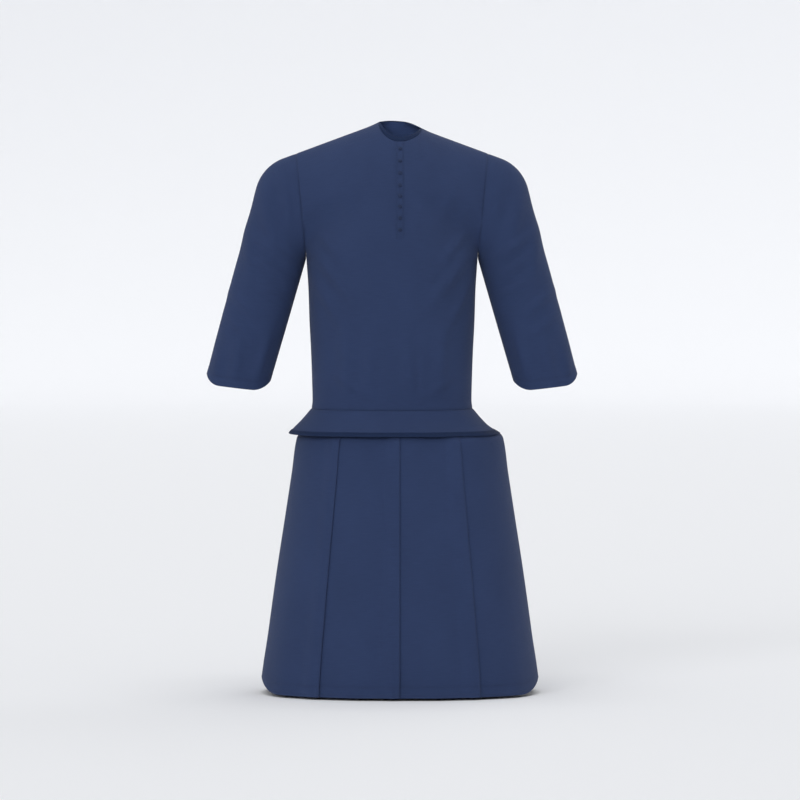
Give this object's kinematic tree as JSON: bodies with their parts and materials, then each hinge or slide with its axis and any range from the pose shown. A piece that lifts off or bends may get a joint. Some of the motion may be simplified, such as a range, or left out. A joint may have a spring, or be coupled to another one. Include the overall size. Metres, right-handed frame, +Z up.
{
  "type": "baju kurung",
  "caption": "Navy baju kurung, hollow as worn: a loose straight-sleeved tunic with a dark neck band, buttoned slit and flared hem, over an A-line skirt with pressed pleats.",
  "frame": {"origin": "on the line of the buttons, between the shoulder seams, at the height where they meet the neck, where the wearer's shoulders hold the garment up", "axes": "+Z up, the front faces -Y, +X is towards the wearer's left"},
  "size_m": [0.8528, 0.4318, 1.3132],
  "materials": {
    "cloth": "matte navy plain-weave cloth",
    "dark_band": "matte darker navy binding cloth",
    "button": "small domed buttons covered in the garment's cloth"
  },
  "bodies": {
    "root": {"tunic_front": "cloth", "tunic_back": "cloth", "sleeve_left": "cloth", "sleeve_right": "cloth", "peplum_front": "cloth", "peplum_back": "cloth", "placket": "cloth", "skirt_front": "cloth", "skirt_back": "cloth", "skirt_waistband": "cloth", "neck_band": "dark_band", "hem_band_front": "dark_band", "hem_band_back": "dark_band", "button_1": "button", "button_2": "button", "button_3": "button", "button_4": "button", "button_5": "button", "button_6": "button", "button_7": "button", "button_8": "button"}
  },
  "joints": []
}
